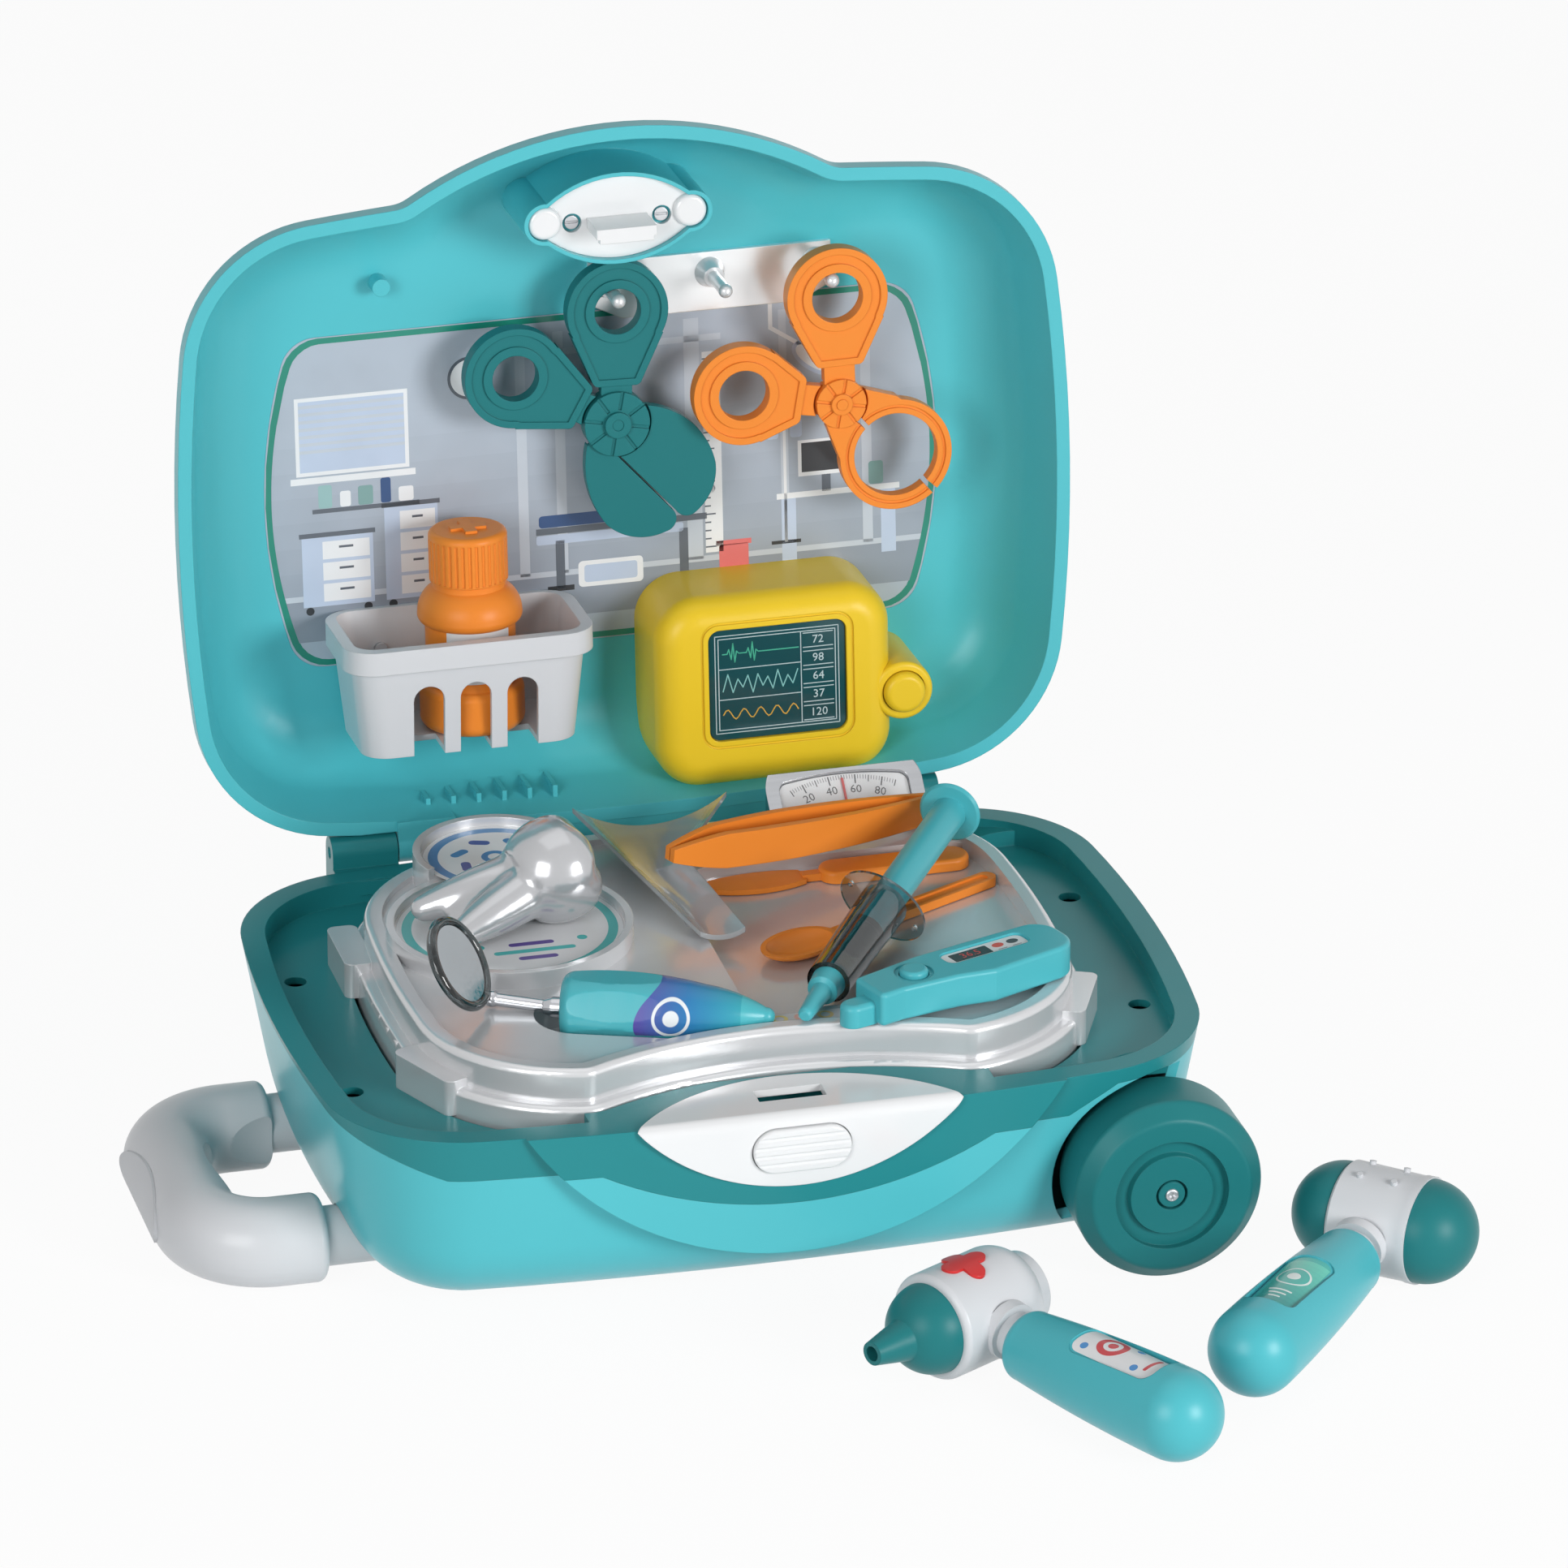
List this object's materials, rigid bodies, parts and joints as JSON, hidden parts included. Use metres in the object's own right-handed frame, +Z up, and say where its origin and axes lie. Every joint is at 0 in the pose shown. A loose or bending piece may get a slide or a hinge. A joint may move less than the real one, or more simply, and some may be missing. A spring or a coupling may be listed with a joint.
{
  "type": "toy doctor case",
  "caption": "Wheeled toy doctor case lying open, its lid fitted as a small ward and its tray holding toy instruments.",
  "frame": {"origin": "centre of the flat pad under the base, on the surface the case lies on", "axes": "+Z up, +Y from the latch to the hinge, +X from the handle to the wheels"},
  "size_m": [0.409, 0.4127, 0.3135],
  "materials": {
    "aqua_plastic": "light aqua, glossy moulded",
    "teal_plastic": "dark teal, glossy moulded",
    "white_plastic": "white, glossy moulded",
    "pale_plastic": "light grey, satin moulded",
    "silver_plastic": "pearly silver grey, glossy",
    "clear_plastic": "clear moulded",
    "smoke_plastic": "smoked, see-through",
    "turquoise_plastic": "turquoise, glossy moulded",
    "orange_plastic": "orange, glossy moulded",
    "yellow_plastic": "yellow, glossy moulded",
    "red_plastic": "red, glossy moulded",
    "chrome_trim": "bright plated",
    "mirror_face": "polished",
    "screen_face": "dark printed sticker",
    "printed_card": "printed card",
    "soft_pad": "soft grip pad",
    "dark_rubber": "matt",
    "steel_pin": "plain"
  },
  "bodies": {
    "base": {"base_shell": "aqua_plastic", "base_rim": "teal_plastic", "base_feet": "dark_rubber", "latch_plate": "white_plastic", "hinge_pins": "steel_pin", "wheel_axle": "steel_pin", "tray": "silver_plastic", "ramp": "clear_plastic", "scale_housing": "chrome_trim", "scale_dial": "white_plastic", "scale_window": "clear_plastic"},
    "button": {"latch_button": "white_plastic", "latch_slider": "white_plastic"},
    "front_wheel": {"wheel_front": "teal_plastic"},
    "back_wheel": {"wheel_back": "teal_plastic"},
    "handle": {"handle_tubes": "pale_plastic", "handle_grip": "pale_plastic", "handle_pad": "soft_pad"},
    "needle": {"scale_needle": "red_plastic"},
    "lid": {"lid_shell": "aqua_plastic", "room_card": "printed_card", "catch_plate": "white_plastic", "catch_hook": "white_plastic", "lid_screws": "steel_pin", "peg_rail": "silver_plastic", "pegs": "silver_plastic", "basket": "pale_plastic", "monitor_case": "yellow_plastic", "monitor_screen": "screen_face"},
    "screen_button": {"monitor_button": "yellow_plastic"},
    "bottle": {"pill_bottle": "orange_plastic"},
    "cap": {"bottle_cap": "orange_plastic"},
    "scissors": {"scissors_front_half": "teal_plastic", "scissors_rivet": "teal_plastic"},
    "scissors_arm": {"scissors_back_half": "teal_plastic"},
    "clamp": {"clamp_front_half": "orange_plastic", "clamp_rivet": "orange_plastic"},
    "clamp_arm": {"clamp_back_half": "orange_plastic"},
    "tooth": {"tooth": "silver_plastic"},
    "mirror": {"mirror_handle": "turquoise_plastic", "mirror_stem": "chrome_trim", "mirror_ring": "smoke_plastic", "mirror_glass": "mirror_face"},
    "syringe": {"syringe_barrel": "smoke_plastic", "syringe_nozzle": "turquoise_plastic"},
    "plunger": {"syringe_plunger": "turquoise_plastic", "plunger_seal": "dark_rubber"},
    "thermometer": {"thermometer_body": "turquoise_plastic"},
    "thermometer_key": {"thermometer_button": "turquoise_plastic"},
    "knife": {"knife": "orange_plastic"},
    "spoon": {"spoon": "orange_plastic"},
    "tweezers": {"tweezers_front_arm": "orange_plastic"},
    "tweezers_arm": {"tweezers_back_arm": "orange_plastic"},
    "otoscope": {"otoscope_head": "pale_plastic", "otoscope_cone": "teal_plastic", "otoscope_plus": "red_plastic", "otoscope_handle": "pale_plastic"},
    "hammer": {"hammer_head": "pale_plastic", "hammer_domes": "teal_plastic", "hammer_handle": "pale_plastic"}
  },
  "joints": [
    {"name": "lid_hinge", "type": "hinge", "parent": "base", "child": "lid", "pos_m": [0, 0.112, 0.0735], "axis": [-1, 0, 0], "range_deg": [-42, 0]},
    {"name": "latch_button", "type": "slide", "parent": "base", "child": "button", "axis": [0, 1, 0], "range_m": [0, 0.0025], "stiffness_N_per_m": 600},
    {"name": "front_wheel_spin", "type": "hinge", "parent": "base", "child": "front_wheel", "pos_m": [0.1197, -0.091, 0.031], "axis": [0, 1, 0], "continuous": true},
    {"name": "back_wheel_spin", "type": "hinge", "parent": "base", "child": "back_wheel", "pos_m": [0.1197, 0.091, 0.031], "axis": [0, 1, 0], "continuous": true},
    {"name": "handle_slide", "type": "slide", "parent": "base", "child": "handle", "axis": [-1, 0, 0], "range_m": [0, 0.15]},
    {"name": "scale_needle", "type": "hinge", "parent": "base", "child": "needle", "pos_m": [0.0645, 0.08002, 0.08562], "axis": [0, -0.6626, 0.749], "range_deg": [-50, 50]},
    {"name": "monitor_button", "type": "slide", "parent": "lid", "child": "screen_button", "axis": [0, 0.9969, -0.0785], "range_m": [0, 0.0012], "stiffness_N_per_m": 400},
    {"name": "scissors_off", "type": "slide", "parent": "lid", "child": "scissors", "axis": [0, -0.9969, 0.0785], "range_m": [0, 0.026]},
    {"name": "scissors_pivot", "type": "hinge", "parent": "scissors", "child": "scissors_arm", "pos_m": [0.0012, 0.14019, 0.20479], "axis": [0, -0.9969, 0.0785], "range_deg": [0, 30]},
    {"name": "clamp_off", "type": "slide", "parent": "lid", "child": "clamp", "axis": [0, -0.9969, 0.0785], "range_m": [0, 0.026]},
    {"name": "clamp_pivot", "type": "hinge", "parent": "clamp", "child": "clamp_arm", "pos_m": [0.0756, 0.13412, 0.20666], "axis": [0, -0.9969, 0.0785], "range_deg": [0, 25]},
    {"name": "bottle_lift", "type": "slide", "parent": "lid", "child": "bottle", "axis": [0, 0.0785, 0.9969], "range_m": [0, 0.03]},
    {"name": "cap_turn", "type": "hinge", "parent": "bottle", "child": "cap", "pos_m": [-0.0505, 0.12793, 0.10766], "axis": [0, 0.0785, 0.9969], "continuous": true},
    {"name": "tooth_lift", "type": "slide", "parent": "base", "child": "tooth", "axis": [0, 0, 1], "range_m": [0, 0.04]},
    {"name": "mirror_lift", "type": "slide", "parent": "base", "child": "mirror", "axis": [0, 0, 1], "range_m": [0, 0.04]},
    {"name": "thermometer_lift", "type": "slide", "parent": "base", "child": "thermometer", "axis": [0, 0, 1], "range_m": [0, 0.04]},
    {"name": "thermometer_button", "type": "slide", "parent": "thermometer", "child": "thermometer_key", "axis": [0, 0, -1], "range_m": [0, 0.001], "stiffness_N_per_m": 300},
    {"name": "syringe_lift", "type": "slide", "parent": "base", "child": "syringe", "axis": [0, 0, 1], "range_m": [0, 0.05]},
    {"name": "plunger_slide", "type": "slide", "parent": "syringe", "child": "plunger", "axis": [0.551, 0.8329, 0.0527], "range_m": [-0.024, 0]},
    {"name": "tweezers_lift", "type": "slide", "parent": "base", "child": "tweezers", "axis": [0, 0, 1], "range_m": [0, 0.04]},
    {"name": "tweezers_squeeze", "type": "hinge", "parent": "tweezers", "child": "tweezers_arm", "pos_m": [0.08708, 0.06762, 0.08732], "axis": [0.1086, 0.0444, 0.9931], "range_deg": [0, 3], "stiffness_Nm_per_rad": 0.4},
    {"name": "knife_lift", "type": "slide", "parent": "base", "child": "knife", "axis": [0, 0, 1], "range_m": [0, 0.02]},
    {"name": "spoon_lift", "type": "slide", "parent": "base", "child": "spoon", "axis": [0, 0, 1], "range_m": [0, 0.02]},
    {"name": "otoscope_lift", "type": "slide", "parent": "base", "child": "otoscope", "axis": [0, 0, 1], "range_m": [0, 0.06]},
    {"name": "hammer_lift", "type": "slide", "parent": "base", "child": "hammer", "axis": [0, 0, 1], "range_m": [0, 0.06]}
  ],
  "couplings": [
    {"joint": "tweezers_lift", "follows": "syringe_lift", "ratio": 0.8},
    {"joint": "knife_lift", "follows": "syringe_lift", "ratio": 0.4},
    {"joint": "spoon_lift", "follows": "syringe_lift", "ratio": 0.4}
  ]
}
